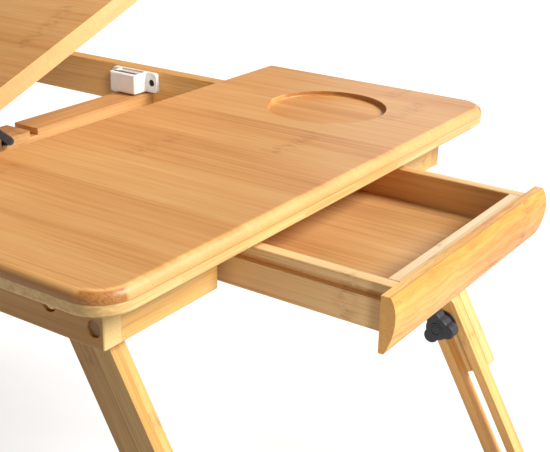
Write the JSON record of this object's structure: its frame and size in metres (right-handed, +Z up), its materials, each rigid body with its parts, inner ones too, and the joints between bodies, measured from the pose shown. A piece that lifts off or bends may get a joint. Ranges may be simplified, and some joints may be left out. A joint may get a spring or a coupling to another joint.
{
  "type": "laptop stand with drawer",
  "caption": "Folding bamboo laptop desk with a tilting top propped on a notched rack, a cup recess, a side drawer and telescoping splayed legs.",
  "frame": {"origin": "on the floor under the middle of the desk", "axes": "+X right towards the drawer, +Y to the back, +Z up"},
  "size_m": [0.6838, 0.352, 0.3586],
  "materials": {
    "bamboo_top": "clear satin varnish",
    "bamboo_rail": "clear satin varnish",
    "bamboo_leg": "clear satin varnish",
    "bamboo_drawer": "clear satin varnish",
    "plug_wood": "end grain, varnished",
    "zinc_steel": "zinc plated",
    "magnet_steel": "blackened",
    "wire_black": "black oxide, satin",
    "white_abs": "moulded, semi-gloss",
    "black_nylon": "moulded, matt"
  },
  "bodies": {
    "frame": {"fixed_top": "bamboo_top", "front_rail": "bamboo_rail", "back_rail": "bamboo_rail", "left_rail": "bamboo_rail", "right_block_front": "bamboo_rail", "right_block_back": "bamboo_rail", "prop_rack": "bamboo_rail", "drawer_guide_front": "bamboo_rail", "drawer_guide_back": "bamboo_rail", "drawer_stop": "bamboo_rail", "rail_plugs": "plug_wood", "pivot_bolts": "zinc_steel", "pivot_nuts": "zinc_steel", "catch_case": "white_abs", "catch_plates": "magnet_steel", "catch_screws": "zinc_steel", "hinge_frame_leaves": "zinc_steel", "hinge_pins": "zinc_steel"},
    "top": {"tilting_top": "bamboo_top", "stop_ledge": "bamboo_top", "hinge_top_leaves": "zinc_steel", "strike_plate": "zinc_steel", "prop_hooks": "black_nylon", "hook_screws": "zinc_steel"},
    "prop": {"prop_bail": "wire_black"},
    "drawer": {"drawer_front": "bamboo_drawer", "drawer_side_front": "bamboo_drawer", "drawer_side_back": "bamboo_drawer", "drawer_inner_front": "bamboo_drawer", "drawer_inner_back": "bamboo_drawer", "drawer_floor": "bamboo_drawer", "drawer_screws": "zinc_steel"},
    "right_legs_upper": {"right_upper_leg_front": "bamboo_leg", "right_upper_leg_back": "bamboo_leg", "right_clamp_bolts": "zinc_steel", "right_clamp_washers": "zinc_steel"},
    "right_legs_lower": {"right_lower_leg_front": "bamboo_leg", "right_lower_leg_back": "bamboo_leg", "right_foot_bar": "bamboo_leg"},
    "right_knob_front": {"right_knob_front": "black_nylon"},
    "right_knob_back": {"right_knob_back": "black_nylon"},
    "left_legs_upper": {"left_upper_leg_front": "bamboo_leg", "left_upper_leg_back": "bamboo_leg", "left_clamp_bolts": "zinc_steel", "left_clamp_washers": "zinc_steel"},
    "left_legs_lower": {"left_lower_leg_front": "bamboo_leg", "left_lower_leg_back": "bamboo_leg", "left_foot_bar": "bamboo_leg"},
    "left_knob_front": {"left_knob_front": "black_nylon"},
    "left_knob_back": {"left_knob_back": "black_nylon"}
  },
  "joints": [
    {"name": "top_tilt", "type": "hinge", "parent": "frame", "child": "top", "pos_m": [0, -0.1547, 0.22969], "axis": [1, 0, 0], "range_deg": [-21, 0]},
    {"name": "prop_fold", "type": "hinge", "parent": "frame", "child": "prop", "pos_m": [0, 0.0005, 0.21339], "axis": [1, 0, 0], "range_deg": [0, 38]},
    {"name": "drawer_slide", "type": "slide", "parent": "frame", "child": "drawer", "axis": [1, 0, 0], "range_m": [-0.0882, 0.022]},
    {"name": "right_leg_fold", "type": "hinge", "parent": "frame", "child": "right_legs_upper", "pos_m": [0.2062, 0, 0.21759], "axis": [0, 1, 0], "range_deg": [0, 119.5]},
    {"name": "right_leg_slide", "type": "slide", "parent": "right_legs_upper", "child": "right_legs_lower", "axis": [-0.4924, 0, 0.8704], "range_m": [0, 0.0755]},
    {"name": "right_knob_front_turn", "type": "hinge", "parent": "right_legs_upper", "child": "right_knob_front", "pos_m": [0.26529, -0.1142, 0.11315], "axis": [0, 1, 0], "continuous": true},
    {"name": "right_knob_back_turn", "type": "hinge", "parent": "right_legs_upper", "child": "right_knob_back", "pos_m": [0.26529, 0.1142, 0.11315], "axis": [0, -1, 0], "continuous": true},
    {"name": "left_leg_fold", "type": "hinge", "parent": "frame", "child": "left_legs_upper", "pos_m": [-0.2062, 0, 0.21759], "axis": [0, -1, 0], "range_deg": [0, 119.5]},
    {"name": "left_leg_slide", "type": "slide", "parent": "left_legs_upper", "child": "left_legs_lower", "axis": [0.4924, 0, 0.8704], "range_m": [0, 0.0755]},
    {"name": "left_knob_front_turn", "type": "hinge", "parent": "left_legs_upper", "child": "left_knob_front", "pos_m": [-0.26529, -0.1142, 0.11315], "axis": [0, 1, 0], "continuous": true},
    {"name": "left_knob_back_turn", "type": "hinge", "parent": "left_legs_upper", "child": "left_knob_back", "pos_m": [-0.26529, 0.1142, 0.11315], "axis": [0, -1, 0], "continuous": true}
  ],
  "couplings": [
    {"joint": "prop_fold", "follows": "top_tilt", "ratio": -1.8},
    {"joint": "right_leg_slide", "follows": "right_leg_fold", "m_per_rad": 0.03596},
    {"joint": "left_leg_slide", "follows": "left_leg_fold", "m_per_rad": 0.03596}
  ]
}
